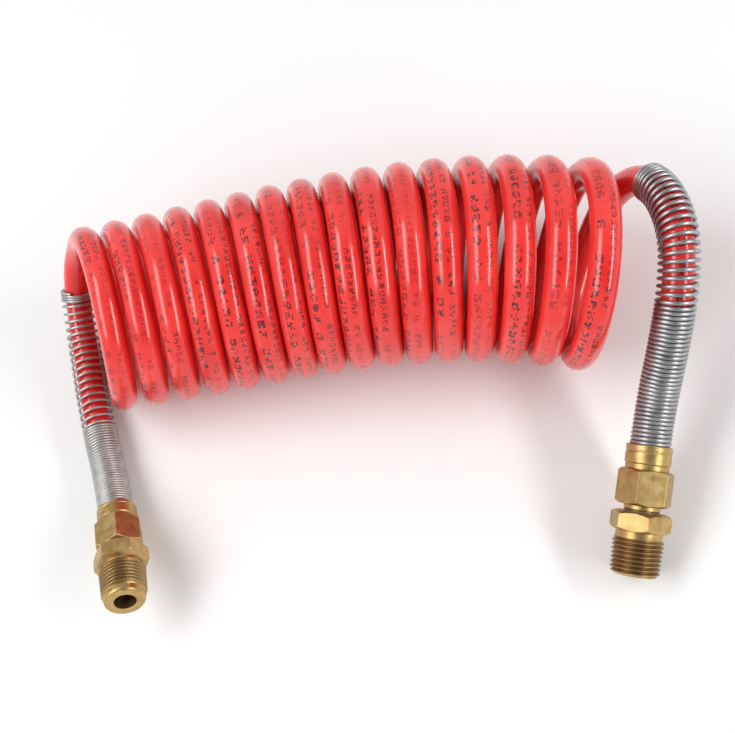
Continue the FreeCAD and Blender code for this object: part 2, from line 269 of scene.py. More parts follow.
class Line:
    """A smooth line in space, with its arc length and a frame that doesn't twist."""

    def __init__(self, points, first_side=(0.0, 0.0, 1.0)):
        self.points = np.asarray(points, float)
        runs = np.linalg.norm(np.diff(self.points, axis=0), axis=1)
        self.arc = np.concatenate([[0.0], np.cumsum(runs)])
        ways = np.gradient(self.points, self.arc, axis=0)
        self.ways = ways / np.linalg.norm(ways, axis=1)[:, None]
        side = np.array(first_side, float)
        sides = []
        for way in self.ways:
            side = side - way * side.dot(way)
            side = side / np.linalg.norm(side)
            sides.append(side)
        self.sides = np.array(sides)

    @property
    def length(self):
        return self.arc[-1]

    def at(self, arc):
        """Place, way along, side and second side at some arc lengths."""
        place = self._mix(self.points, arc)
        way = self._mix(self.ways, arc)
        way /= np.linalg.norm(way, axis=1)[:, None]
        side = self._mix(self.sides, arc)
        side -= way * np.sum(side * way, axis=1)[:, None]
        side /= np.linalg.norm(side, axis=1)[:, None]
        return place, way, side, np.cross(way, side)

    def _mix(self, values, arc):
        return np.stack([np.interp(arc, self.arc, values[:, k]) for k in range(3)], axis=1)


# ---------------------------------------------------------------- mesh helpers
SHARP_ANGLE = 50.0
WIRE_SHARP_ANGLE = 60.0


def new_object(name, vertices, faces, smooth=True):
    mesh = bpy.data.meshes.new(name)
    mesh.from_pydata([tuple(v) for v in vertices], [], faces)
    mesh.validate()
    if smooth:
        mesh.shade_smooth()
    piece = bpy.data.objects.new(name, mesh)
    bpy.context.collection.objects.link(piece)
    return piece


def tube_faces(rows, columns):
    """Quads between the rings of a tube, and then a face over each of its end rings."""
    faces = []
    for here in range(0, (rows - 1) * columns, columns):
        there = here + columns
        for j in range(columns):
            k = (j + 1) % columns
            faces.append((here + j, here + k, there + k, there + j))
    faces.append(tuple(range(columns))[::-1])
    faces.append(tuple(range((rows - 1) * columns, rows * columns)))
    return faces


def swept(name, line, arcs, radii, sides):
    """A closed round tube along a line: one ring of vertices at each arc length."""
    place, _, side, other = line.at(np.asarray(arcs))
    angle = (np.arange(sides) * 2 * np.pi / sides)[None, :, None]
    ring = side[:, None, :] * np.cos(angle) + other[:, None, :] * np.sin(angle)
    vertices = place[:, None, :] + ring * np.asarray(radii)[:, None, None]
    return new_object(name, vertices.reshape(-1, 3), tube_faces(len(arcs), sides))


def lay_uv(piece, rows, columns, along, around):
    """A UV map of distance along and share of a turn around, for a piece made by tube_faces."""
    layer = piece.data.uv_layers.new(name="along_and_around")
    along = np.asarray(along)
    i, j = np.meshgrid(np.arange(rows - 1), np.arange(columns), indexing="ij")
    corners = [(i, j), (i, j + 1), (i + 1, j + 1), (i + 1, j)]
    uv = np.stack([np.stack([along[a], around(a, b)], axis=-1) for a, b in corners], axis=2).ravel()
    caps = np.zeros(2 * len(layer.data) - len(uv))
    layer.data.foreach_set("uv", np.concatenate([uv, caps]).astype(np.float32))


# ---------------------------------------------------------------- materials
HOSE_RED = ((0.74, 0.022, 0.020), (0.88, 0.052, 0.045))
INK = (0.035, 0.008, 0.010, 1.0)
BRASS = {
    "light": (0.66, 0.46, 0.20),
    "dark": (0.44, 0.28, 0.10),
    "thread": (0.38, 0.25, 0.12),
    "rough": 0.38,
}
MATTE_STEEL = {"light": (0.60, 0.59, 0.57), "dark": (0.42, 0.41, 0.40), "rough": 0.46, "grain": 0.5}
BRIGHT_STEEL = {"light": (0.50, 0.50, 0.51), "dark": (0.33, 0.33, 0.34), "rough": 0.38, "grain": 0.3}


class Nodes:
    """A short way to write a node tree."""

    def __init__(self, name):
        self.material = bpy.data.materials.new(name)
        self.material.use_nodes = True
        self.tree = self.material.node_tree
        self.shader = self.tree.nodes["Principled BSDF"]

    def add(self, kind, inputs=(), **settings):
        node = self.tree.nodes.new("ShaderNode" + kind)
        for key, value in settings.items():
            setattr(node, key, value)
        for key, value in dict(inputs).items():
            self.feed(node, key, value)
        return node

    def feed(self, node, key, value):
        if isinstance(value, bpy.types.NodeSocket):
            self.tree.links.new(value, node.inputs[key])
        else:
            node.inputs[key].default_value = value

    def set(self, **inputs):
        for key, value in inputs.items():
            self.feed(self.shader, key.replace("_", " "), value)

    def math(self, operation, a, b=0.0):
        node = self.add("Math", operation=operation)
        self.feed(node, 0, a)
        self.feed(node, 1, b)
        return node.outputs[0]

    def mix(self, factor, a, b):
        node = self.add("Mix", data_type="RGBA")
        self.feed(node, "Factor", factor)
        self.feed(node, 6, a)
        self.feed(node, 7, b)
        return node.outputs[2]

    def ramp(self, value, stops):
        node = self.add("ValToRGB", {"Fac": value})
        points = node.color_ramp.elements
        while len(points) < len(stops):
            points.new(0.5)
        for point, (position, color) in zip(points, stops):
            point.position = position
            point.color = color if len(color) == 4 else (*color, 1.0)
        return node.outputs["Color"]

    def noise(self, vector, scale, detail=3.0, roughness=0.5):
        node = self.add("TexNoise", {"Vector": vector, "Scale": scale, "Detail": detail})
        node.inputs["Roughness"].default_value = roughness
        return node.outputs["Fac"]

    def stretched(self, vector, scale):
        return self.add("Mapping", {"Vector": vector, "Scale": scale}).outputs[0]

    def bump(self, height, strength, distance, normal=None):
        inputs = {"Height": height, "Strength": strength, "Distance": distance}
        if normal is not None:
            inputs["Normal"] = normal
        return self.add("Bump", inputs).outputs[0]

    def place(self):
        return self.add("TexCoord").outputs["Object"]

    def uv(self):
        return self.add("UVMap", uv_map="along_and_around").outputs[0]


def grey(value):
    return (value, value, value, 1.0)


def hose_material():
    """Glossy red nylon: slightly cloudy, with fine draw lines and worn dots of ink."""
    m = Nodes("red_nylon")
    place = m.place()
    uv = m.uv()
    cloud = m.noise(place, 45.0, 4.0)
    base = m.ramp(cloud, [(0.30, HOSE_RED[0]), (0.70, HOSE_RED[1])])
    ink = ink_dots(m, uv, place)
    colour = m.mix(ink, base, INK)
    lines = m.noise(m.stretched(uv, (8.0, 160.0, 1.0)), 1.0, 2.0)
    waves = m.noise(m.stretched(uv, (60.0, 3.0, 1.0)), 1.0, 1.0)
    normal = m.bump(waves, 0.25, 0.0006, m.bump(lines, 0.12, 0.0002))
    rough = m.ramp(m.noise(place, 140.0, 3.0), [(0.3, grey(0.16)), (0.75, grey(0.26))])
    m.set(Base_Color=colour, Roughness=rough, Normal=normal, IOR=1.52)
    m.set(Subsurface_Weight=0.35, Subsurface_Scale=0.004, Subsurface_Radius=(1.0, 0.25, 0.18))
    m.set(Coat_Weight=0.25, Coat_Roughness=0.08)
    return m.material


INK_ROWS = (
    {"middle": -0.055, "cell": 2.9 * MM, "dot": 0.0125, "dark": 0.78},
    {"middle": 0.075, "cell": 4.1 * MM, "dot": 0.0165, "dark": 0.95},
)
INK_COLUMNS = 4
INK_DOTS = 5
DOT_THRESHOLD = 0.42
CLUSTER_THRESHOLD = 0.16


def ink_dots(m, uv, place):
    """Two rows of worn clusters of random dots along the tube, which spell nothing."""
    parts = m.add("SeparateXYZ", {"Vector": uv})
    along = parts.outputs["X"]
    around = m.math("SUBTRACT", m.math("FRACT", m.math("ADD", parts.outputs["Y"], 0.5)), 0.5)
    shown = None
    for row in INK_ROWS:
        cells = m.math("DIVIDE", along, row["cell"])
        column = m.math("FLOOR", m.math("MULTIPLY", cells, INK_COLUMNS))
        inside = m.math("LESS_THAN", m.math("FRACT", cells), 1.0 - 1.0 / INK_COLUMNS)
        level = m.math("DIVIDE", m.math("SUBTRACT", around, row["middle"]), row["dot"])
        in_row = m.math("LESS_THAN", m.math("ABSOLUTE", level), INK_DOTS / 2)
        step = m.math("FLOOR", m.math("ADD", level, INK_DOTS / 2))
        seed = m.add("CombineXYZ", {"X": column, "Y": step, "Z": row["cell"] * 1000})
        dots = m.add("TexWhiteNoise", {"Vector": seed.outputs[0]}, noise_dimensions="3D")
        printed = m.math("GREATER_THAN", dots.outputs["Value"], DOT_THRESHOLD)
        clusters = m.add("TexWhiteNoise", {"W": m.math("FLOOR", cells)}, noise_dimensions="1D")
        filled = m.math("GREATER_THAN", clusters.outputs["Value"], CLUSTER_THRESHOLD)
        within = m.math("MULTIPLY", inside, in_row)
        mark = m.math("MULTIPLY", within, m.math("MULTIPLY", printed, filled))
        mark = m.math("MULTIPLY", mark, row["dark"])
        shown = mark if shown is None else m.math("MAXIMUM", shown, mark)
    patches = m.noise(m.stretched(uv, (9.0, 0.0, 1.0)), 1.0, 1.0)
    faded = m.ramp(patches, [(0.40, grey(0.45)), (0.52, grey(1.0))])
    specks = m.noise(place, 1500.0, 2.0)
    worn = m.ramp(specks, [(0.34, grey(0.25)), (0.52, grey(1.0))])
    return m.math("MULTIPLY", m.math("MULTIPLY", shown, faded), worn)


def brass_material(name, light, dark, thread, rough):
    """Machined brass: turning rings on round faces, a drawn grain on flats and browner threads."""
    m = Nodes(name)
    place = m.place()
    uv = m.uv()
    flat = m.add("Attribute", attribute_name="flat").outputs["Fac"]
    threaded = m.add("Attribute", attribute_name="thread").outputs["Fac"]
    rings = m.noise(m.stretched(uv, (9000.0, 2.0, 1.0)), 1.0, 3.0)
    grain = m.noise(m.stretched(uv, (900.0, 420.0, 1.0)), 1.0, 4.0, 0.65)
    marks = m.mix(flat, rings, grain)
    stain = m.noise(place, 190.0, 5.0, 0.6)
    base = m.mix(threaded, m.ramp(stain, [(0.32, dark), (0.68, light)]), (*thread, 1.0))
    tint = m.ramp(marks, [(0.30, grey(0.72)), (0.70, grey(1.0))])
    shade = m.add("Mix", data_type="RGBA", blend_type="MULTIPLY")
    m.feed(shade, "Factor", 0.6)
    m.feed(shade, 6, base)
    m.feed(shade, 7, tint)
    low = m.math("MULTIPLY", m.math("SUBTRACT", stain, 0.5), 0.25)
    m.set(Base_Color=shade.outputs[2], Metallic=1.0, Roughness=m.math("ADD", low, rough))
    m.set(Normal=m.bump(marks, 0.4, 0.0001))
    return m.material


def steel_material(name, light, dark, rough, grain):
    """Spring wire: drawn lines along the wire and a mottled zinc or bright finish."""
    m = Nodes(name)
    place = m.place()
    drawn = m.noise(m.stretched(m.uv(), (300.0, 9.0, 1.0)), 1.0, 2.0)
    cloud = m.noise(place, 260.0, 4.0, 0.6)
    base = m.ramp(cloud, [(0.3, dark), (0.7, light)])
    low = m.math("MULTIPLY", m.math("SUBTRACT", cloud, 0.5), 0.3)
    m.set(Base_Color=base, Metallic=1.0, Roughness=m.math("ADD", low, rough))
    m.set(Normal=m.bump(drawn, grain, 0.0001))
    return m.material


def rubber_material():
    m = Nodes("seal_rubber")
    cloud = m.noise(m.place(), 900.0, 3.0)
    m.set(Base_Color=m.ramp(cloud, [(0.3, (0.012, 0.012, 0.013)), (0.7, (0.03, 0.03, 0.03))]))
    m.set(Roughness=0.55, Normal=m.bump(cloud, 0.3, 0.0001))
    return m.material


# ---------------------------------------------------------------- the hose
HOSE_SIDES = 28
HOSE_STEP = 3.0 * MM
LINE_STEPS = 12
BLIND_BORE = 12.0 * MM
BORE_TIP = 0.02
PRINT_SIDE = 0.02
PRINT_WANDER = 0.05
PRINT_WANDER_RATE = 0.8
POINTS_ON_AXIS = 2
POINTS_IN_COIL = 2


def outward_turns(line, arcs, share):
    """Where round the tube the coil's outward side lies at each ring, in turns, for the print."""
    place, _, side, other = line.at(arcs)
    turns = FIRST_TURN + (LAST_TURN - FIRST_TURN) * np.clip(share, 0.0, 1.0)
    centres = np.array([to_scene(turn_frame(t)[0]) for t in turns])
    out = place - centres
    angle = np.unwrap(np.arctan2(np.sum(out * other, axis=1), np.sum(out * side, axis=1)))
    in_coil = (share >= 0.0) & (share <= 1.0)
    angle = np.interp(arcs, arcs[in_coil], angle[in_coil])
    return angle / (2 * np.pi) + PRINT_SIDE + PRINT_WANDER * np.sin(turns * PRINT_WANDER_RATE)


def lead_length(points):
    """Length of the smooth line through one lead's points."""
    steps = np.diff(nurbs_line(points, LINE_STEPS), axis=0)
    return float(np.linalg.norm(steps, axis=1).sum())


def coil_share(line, arcs):
    """How far along the coil each arc length is: 0 where the left lead ends, 1 where the right begins."""
    route = hose_route()
    left_count = POINTS_ON_AXIS + len(LEFT_BENDS) + POINTS_IN_COIL
    right_count = POINTS_IN_COIL + len(RIGHT_BENDS) + POINTS_ON_AXIS
    left = lead_length(route[:left_count])
    right = lead_length(route[-right_count:])
    return (arcs - left) / (line.length - left - right)


def make_hose(line):
    """The whole hose as one tube, blind-bored at both ends."""
    count = int(line.length / HOSE_STEP)
    middle = np.linspace(0.0, line.length, count)
    deep = line.length - BLIND_BORE
    arcs = np.concatenate([[BLIND_BORE, BLIND_BORE, 0.0], middle, [line.length, deep, deep]])
    bore = TUBE_BORE_R * MM
    tip = bore * BORE_TIP
    outside = np.full(count, TUBE_R * MM)
    radii = np.concatenate([[tip, bore, bore], outside, [bore, bore, tip]])
    hose = swept("coiled_hose", line, arcs, radii, HOSE_SIDES)
    share = coil_share(line, arcs)
    outward = outward_turns(line, arcs, share)
    lay_uv(hose, len(arcs), HOSE_SIDES, arcs, lambda i, j: j / HOSE_SIDES - outward[i])
    hose.data.set_sharp_from_angle(angle=math.radians(SHARP_ANGLE))
    hose.data.materials.append(hose_material())
    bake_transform(hose)
    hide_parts("hose_coil", "hose_lead_left", "hose_lead_right")
    return hose


# ---------------------------------------------------------------- the spring guards
WIRE_STEPS = 28
WIRE_SIDES = 8
WIRE_TIP = 0.05
# Each span is a number of turns and their pitch.
GUARDS = {
    "left": {"wire": 1.42, "spans": [(38.0, 1.44), (17.5, 4.09), (3.5, 1.45)]},
    "right": {"wire": 1.78, "spans": [(38.0, 1.82), (9.5, 3.1), (9.0, 2.75), (3.0, 1.82)]},
}


def wire_arcs(spans):
    """Distance along the guard at each step of the wire, with the pitch eased between spans."""
    pitch = np.concatenate([np.full(int(turns * WIRE_STEPS), step) for turns, step in spans])
    padded = np.pad(pitch, WIRE_STEPS // 2, mode="edge")
    eased = np.convolve(padded, np.ones(WIRE_STEPS) / WIRE_STEPS, mode="same")
    eased = eased[WIRE_STEPS // 2:WIRE_STEPS // 2 + len(pitch)]
    return np.concatenate([[0.0], np.cumsum(eased) / WIRE_STEPS])


def make_guard(side, hose_line, material):
    """A spring guard as its real wire, wound round the hose's line."""
    wire_r = GUARDS[side]["wire"] / 2 * MM
    along = (wire_arcs(GUARDS[side]["spans"]) + GUARD_START - TUBE_END[side]) * MM
    arcs = along if side == "left" else hose_line.length - along
    winding = 1.0 if side == "left" else -1.0
    angle = winding * 2 * np.pi * np.arange(len(arcs)) / WIRE_STEPS
    place, _, one, two = hose_line.at(arcs)
    out = one * np.cos(angle)[:, None] + two * np.sin(angle)[:, None]
    centre = place + out * (GUARD_OD / 2 * MM - wire_r)
    wire = Line(centre, first_side=out[0])
    steps = np.concatenate([[0.0], wire.arc, [wire.length]])
    tip = wire_r * WIRE_TIP
    radii = np.concatenate([[tip], np.full(len(wire.arc), wire_r), [tip]])
    piece = swept(side + "_guard_wire", wire, steps, radii, WIRE_SIDES)
    lay_uv(piece, len(steps), WIRE_SIDES, steps, lambda i, j: j / WIRE_SIDES)
    piece.data.set_sharp_from_angle(angle=math.radians(WIRE_SHARP_ANGLE))
    piece.data.materials.append(material)
    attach(piece, side + "_end")
    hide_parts(side + "_spring_guard")
    return piece


# ---------------------------------------------------------------- the end fittings
EDGE = 0.2
COLLAR_EDGE = 0.12
EDGE_REACH = 0.36
EDGE_BESIDE = 1.3
FLAT_EDGE = 0.3
SMOOTHING = 0.12
CHAMFER_STEP = 0.15
CHAMFER_SKIP = 3
FACE_INSET = 0.4
FRONT_CHAMFER = (0.3, 1.9)
MERGE = 0.0005
OUTER_FROM = 8.8
# A ledge lets the corner between a face and its neighbour be rounded.
LEDGE = 0.1
# The heights inside the passage, the sleeve and the nut at which their outlines start and end.
BORE_SEAM = 6.0
SLEEVE_SEAM = 30.0
NUT_SEAM = 35.0
# One turn of the thread: share of the pitch, and share of the depth.
THREAD_PROFILE = [(0.0, 0.0), (0.1, 0.0), (0.17, 0.1), (0.32, 0.5), (0.47, 0.92),
                  (0.55, 1.0), (0.63, 0.92), (0.78, 0.5), (0.93, 0.1)]
THREAD_END_SLOPE = 1.2
THREAD_COLOUR_FROM = 1.0
SPAN_MARGIN = 0.3
CORNER_COLUMNS = [-1.5, -0.75, 0.0, 0.75, 1.5]
FLAT_COLUMNS = (4.5, 55.5, 16)


def column_angles():
    """Angles round a fitting, closer together beside the corners of its hexagons."""
    sector = np.array(CORNER_COLUMNS + list(np.linspace(*FLAT_COLUMNS)))
    return np.radians(np.concatenate([sector + 60 * k for k in range(6)]))


COLUMNS = column_angles()


def smooth_min(a, b, k):
    """The lesser of two radii, with the edge between them rounded."""
    h = np.clip(0.5 + 0.5 * (b - a) / k, 0.0, 1.0)
    return b * (1 - h) + a * h - k * h * (1 - h)


def hexagon_radius(angle, across_flats):
    """Radius of a hexagon with slightly rounded corners at multiples of 60 degrees."""
    turn = np.abs((angle + math.pi / 6) % (math.pi / 3) - math.pi / 6)
    flat = across_flats / 2
    centre = (flat - FLAT_EDGE) / math.cos(math.pi / 6)
    swing = np.maximum(FLAT_EDGE ** 2 - (centre * np.sin(turn)) ** 2, 0.0)
    corner = centre * np.cos(turn) + np.sqrt(swing)
    to_flat = math.pi / 6 - turn
    on_corner = flat * np.tan(to_flat) > (flat - FLAT_EDGE) * math.tan(math.pi / 6)
    return np.where(on_corner, corner, flat / np.cos(to_flat))


def corner_rows(before, here, after, radius):
    """One outline corner rounded: a short arc with a row beside each of its ends."""
    way_in = before - here
    way_out = after - here
    long_in = np.linalg.norm(way_in)
    long_out = np.linalg.norm(way_out)
    reach = min(radius, EDGE_REACH * long_in, EDGE_REACH * long_out)
    start = here + way_in / long_in * reach
    end = here + way_out / long_out * reach
    arc = [start * (1 - t) ** 2 + here * 2 * t * (1 - t) + end * t ** 2 for t in (0.0, 0.5, 1.0)]
    beside = reach * EDGE_BESIDE
    return [here + way_in / long_in * beside] + arc + [here + way_out / long_out * beside]


def rounded(outline, radius):
    """Rows of (height, radius) along an open outline, its inner corners rounded."""
    corners = [np.array(point[:2], float) for point in outline]
    rows = [corners[0]]
    for before, here, after in zip(corners, corners[1:], corners[2:]):
        rows += corner_rows(before, here, after, radius)
    rows.append(corners[-1])
    return np.array(rows)


class Turning:
    """A closed solid on a fitting's axis, made of bands of points that share their end rings."""

    def __init__(self, name, side, turn=0.0, edge=EDGE):
        self.name = name
        self.side = side
        self.turn = math.radians(turn)
        self.edge = edge
        self.vertices = []
        self.faces = []
        self.spans = {"flat": [], "thread": []}

    def _grid(self, heights, radii, skip=0):
        """Add a grid of points, whose last column meets its first one skip rows further on."""
        start = sum(len(v) for v in self.vertices)
        rows, columns = radii.shape
        angle = COLUMNS + self.turn
        x = radii * np.cos(angle)
        y = radii * np.sin(angle)
        self.vertices.append(np.stack([x, y, heights], axis=-1).reshape(-1, 3))
        for i in range(rows - 1 - skip):
            for j in range(columns):
                a = start + i * columns + j
                b = a + 1 if j < columns - 1 else start + (i + skip) * columns
                self.faces.append((a, b, b + columns, a + columns))

    def band(self, outline):
        """A round band along an outline of (height, radius) corners."""
        rows = rounded(outline, self.edge)
        radii = np.repeat(rows[:, 1:], len(COLUMNS), axis=1)
        heights = np.repeat(rows[:, :1], len(COLUMNS), axis=1)
        self._grid(heights, radii)

    def arc_rows(self, heights, radii):
        """A round band through the given rows, as they are."""
        ones = np.ones(len(COLUMNS))
        self._grid(np.outer(heights, ones), np.outer(radii, ones))

    def hexagon(self, across_flats, low, high, inner, front_chamfer=None):
        """A chamfered hexagon between two heights, from one end face's radius to the other's."""
        face = across_flats / 2 - FACE_INSET
        front_face, front_depth = front_chamfer or (face, HEX_CHAMFER)
        share = np.linspace(0.0, 1.0, int(2 * front_depth / CHAMFER_STEP))
        reach = front_depth * math.sqrt(3)
        up = np.stack([low + front_depth * share, front_face + reach * share], axis=1)
        share = np.linspace(1.0, 0.0, int(2 * HEX_CHAMFER / CHAMFER_STEP))
        reach = HEX_CHAMFER * math.sqrt(3)
        down = np.stack([high - HEX_CHAMFER * share, face + reach * share], axis=1)
        last = -1 - CHAMFER_SKIP
        front = rounded([(low, inner[0]), (low, front_face), up[CHAMFER_SKIP]], self.edge)
        back = rounded([down[last], (high, face), (high, inner[1])], self.edge)
        rows = np.vstack([front, up[CHAMFER_SKIP + 1:], down[:last], back])
        flat = hexagon_radius(COLUMNS, across_flats)[None, :]
        radii = smooth_min(rows[:, 1:], flat, SMOOTHING)
        heights = np.repeat(rows[:, :1], len(COLUMNS), axis=1)
        end_rows = np.array([0, len(rows) - 1])
        radii[end_rows] = rows[end_rows, 1:]
        self._grid(heights, radii)
        self.spans["flat"].append((low + SPAN_MARGIN, high - SPAN_MARGIN))

    def thread(self, low, high, end_radii):
        """A right-handed tapered thread between two rings, chamfered at both."""
        turns = int((high - low) / THREAD_PITCH) + 3
        rows = np.array([(k + share, cut) for k in range(-1, turns) for share, cut in THREAD_PROFILE])
        lead = COLUMNS / (2 * math.pi)
        heights = low + THREAD_PITCH * (rows[:, :1] + lead[None, :])
        root = THREAD_BASE_R - (THREAD_LENGTH - heights) * THREAD_TAPER
        radii = root - THREAD_DEPTH * rows[:, 1:]
        heights = np.clip(heights, low, high)
        rise = (heights - low) * THREAD_END_SLOPE
        fall = (high - heights) * THREAD_END_SLOPE
        cone = np.minimum(end_radii[0] + rise, end_radii[1] + fall)
        radii = np.where(heights > low, np.minimum(radii, cone), end_radii[0])
        radii = np.where(heights < high, radii, end_radii[1])
        self._grid(heights, radii, skip=len(THREAD_PROFILE))
        self.spans["thread"].append((low + THREAD_COLOUR_FROM, high - SPAN_MARGIN))

    def finish(self, body, node, material):
        """Join the bands into one mesh, and put it in its place."""
        piece = new_object(self.name, np.vstack(self.vertices), self.faces)
        work = bmesh.new()
        work.from_mesh(piece.data)
        bmesh.ops.remove_doubles(work, verts=work.verts, dist=MERGE)
        bmesh.ops.dissolve_degenerate(work, edges=work.edges, dist=MERGE / 5)
        bmesh.ops.delete(work, geom=[v for v in work.verts if not v.link_faces], context="VERTS")
        bmesh.ops.recalc_face_normals(work, faces=work.faces)
        work.to_mesh(piece.data)
        work.free()
        self._lay_uv(piece.data)
        self._mark_spans(piece.data)
        piece.data.transform(fitting_matrix(self.side))
        piece.data.set_sharp_from_angle(angle=math.radians(SHARP_ANGLE))
        piece.data.materials.append(material)
        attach(piece, body)
        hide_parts(node)
        return piece

    def _lay_uv(self, mesh):
        """Height and share of a turn at each corner of each face."""
        layer = mesh.uv_layers.new(name="along_and_around")
        for face in mesh.polygons:
            spots = [mesh.vertices[k].co for k in face.vertices]
            turns = [math.atan2(p.y, p.x) / (2 * math.pi) for p in spots]
            seam = max(turns) - min(turns) > 0.5
            for loop, spot, turn in zip(face.loop_indices, spots, turns):
                around = turn + 1.0 if seam and turn < 0 else turn
                layer.data[loop].uv = (spot.z * MM, around)

    def _mark_spans(self, mesh):
        """Tell flats and threads from plain turned faces, for their grain and colour."""
        for name, spans in self.spans.items():
            mark = mesh.attributes.new(name, "FLOAT", "POINT")
            for k, vertex in enumerate(mesh.vertices):
                within = any(a < vertex.co.z < b for a, b in spans)
                mark.data[k].value = float(within and vertex.co.xy.length > OUTER_FROM)


def fitting_matrix(side):
    """From a fitting's own axis in millimetres, with its mouth at zero, to the scene."""
    turn = Vector((0, 0, 1)).rotation_difference(-pointing(side))
    return Matrix.LocRotScale(to_scene(MOUTH[side]), turn, Vector((MM, MM, MM)))


def tube_socket(side):
    """The passage's outline inside a body, from its rear face to the mouth's bore."""
    stop = TUBE_STOP[side]
    seat = BODY_REAR - SEAT_DEPTH
    return [(BODY_REAR, SEAT_MOUTH_R), (seat, SEAT_R), (stop, SEAT_R), (stop, BORE_R[side])]


def connector_body(material):
    """Left end: a smooth lip, the pipe thread, the hexagon and a plain cylinder inside the nut."""
    piece = Turning("rigid_connector_body", "left", BODY_HEX_TURN["left"])
    bore = BORE_R["left"]
    low, high = BODY_HEX["left"]
    mouth_r = MOUTH_R["left"]
    thread_from, thread_to = THREAD_FROM["left"], THREAD_TO["left"]
    piece.band([(BORE_SEAM, bore), (0.0, bore), (0.0, mouth_r - LIP_ROUND)])
    lip = np.linspace(0.0, math.pi / 2, 7)
    piece.arc_rows(LIP_LENGTH - LIP_LENGTH * np.cos(lip), mouth_r - LIP_ROUND + LIP_ROUND * np.sin(lip))
    piece.band([(LIP_LENGTH, mouth_r), (thread_from, mouth_r)])
    piece.thread(thread_from, thread_to, (mouth_r, RELIEF_R))
    piece.band([(thread_to, RELIEF_R), (low, RELIEF_R), (low, RELIEF_R + LEDGE)])
    piece.hexagon(BODY_AF, low, high, (RELIEF_R + LEDGE, BODY_THREAD_R + LEDGE),
                  front_chamfer=(RELIEF_R + FRONT_CHAMFER[0], FRONT_CHAMFER[1]))
    piece.band([(high, BODY_THREAD_R + LEDGE), (high, BODY_THREAD_R), (BODY_REAR, BODY_THREAD_R)]
               + tube_socket("left") + [(BORE_SEAM, bore)])
    return piece.finish("left_end", "left_connector_body", material)


def swivel_stem(material):
    """Right end: the turning stem, with its pipe thread, flange hexagon and journal."""
    piece = Turning("swivel_stem", "right", BODY_HEX_TURN["right"])
    bore = BORE_R["right"]
    low, high = BODY_HEX["right"]
    mouth_r = MOUTH_R["right"]
    thread_from, thread_to = THREAD_FROM["right"], THREAD_TO["right"]
    piece.band([(BORE_SEAM, bore), (thread_from, bore), (thread_from, mouth_r)])
    piece.thread(thread_from, thread_to, (mouth_r, RELIEF_R))
    piece.band([(thread_to, RELIEF_R), (low, RELIEF_R), (low, RELIEF_R + LEDGE)])
    piece.hexagon(BODY_AF, low, high, (RELIEF_R + LEDGE, JOURNAL_R + LEDGE))
    outline = [(high, JOURNAL_R + LEDGE), (high, JOURNAL_R)]
    for middle in O_RING_HEIGHTS:
        near, far = middle - O_GROOVE_HALF, middle + O_GROOVE_HALF
        outline += [(near, JOURNAL_R), (near, O_GROOVE_R), (far, O_GROOVE_R), (far, JOURNAL_R)]
    near, far = STEM_GROOVE
    outline += [(near, JOURNAL_R), (near, STEM_GROOVE_R), (far, STEM_GROOVE_R),
                (far, JOURNAL_R - JOURNAL_CHAMFER[0]), (JOURNAL_END, JOURNAL_R - JOURNAL_CHAMFER[1]),
                (JOURNAL_END, bore), (BORE_SEAM, bore)]
    piece.band(outline)
    return piece.finish("swivel_stem", "right_swivel_stem", material)


def swivel_body(material):
    """Right end: the sleeve in the nut, in which the stem turns."""
    piece = Turning("swivel_sleeve", "right")
    near, far = SLEEVE_GROOVE
    step = NUT_FRONT["right"]
    outside = [
        (SLEEVE_SEAM, BEARING_R), (NOSE_FRONT, BEARING_R), (NOSE_FRONT, NOSE_R - NOSE_CHAMFER),
        (NOSE_FRONT + NOSE_CHAMFER, NOSE_R), (step, NOSE_R), (step + NOSE_CHAMFER, BODY_THREAD_R),
        (BODY_REAR, BODY_THREAD_R),
    ]
    bearing = [
        (BEARING_END, BORE_R["right"]), (BEARING_END, BEARING_R), (far, BEARING_R),
        (far, SLEEVE_GROOVE_R), (near, SLEEVE_GROOVE_R), (near, BEARING_R), (SLEEVE_SEAM, BEARING_R),
    ]
    piece.band(outside + tube_socket("right") + bearing)
    return piece.finish("right_end", "right_swivel_body", material)


def compression_nut(side, material):
    """The hexagon nut that closes the ferrule on the tube."""
    front = NUT_FRONT[side]
    piece = Turning(side + "_nut", side, NUT_HEX_TURN[side])
    piece.band([(NUT_SEAM, NUT_BORE_R), (front, NUT_BORE_R), (front, NUT_BORE_R + LEDGE)])
    piece.hexagon(NUT_AF, front, NUT_REAR, (NUT_BORE_R + LEDGE, SPIGOT_R + LEDGE))
    hole, cone_small, cone_large, bore = (BODY_REAR + step for step in NUT_STEPS)
    piece.band([
        (NUT_REAR, SPIGOT_R + LEDGE), (NUT_REAR, SPIGOT_R), (GUARD_START, SPIGOT_R),
        (GUARD_START, NUT_HOLE_R), (hole, NUT_HOLE_R), (cone_small, NUT_HOLE_R + LEDGE),
        (cone_large, NUT_CONE_R), (bore, NUT_BORE_R), (NUT_SEAM, NUT_BORE_R),
    ])
    return piece.finish(side + "_end", side + "_compression_nut", material)


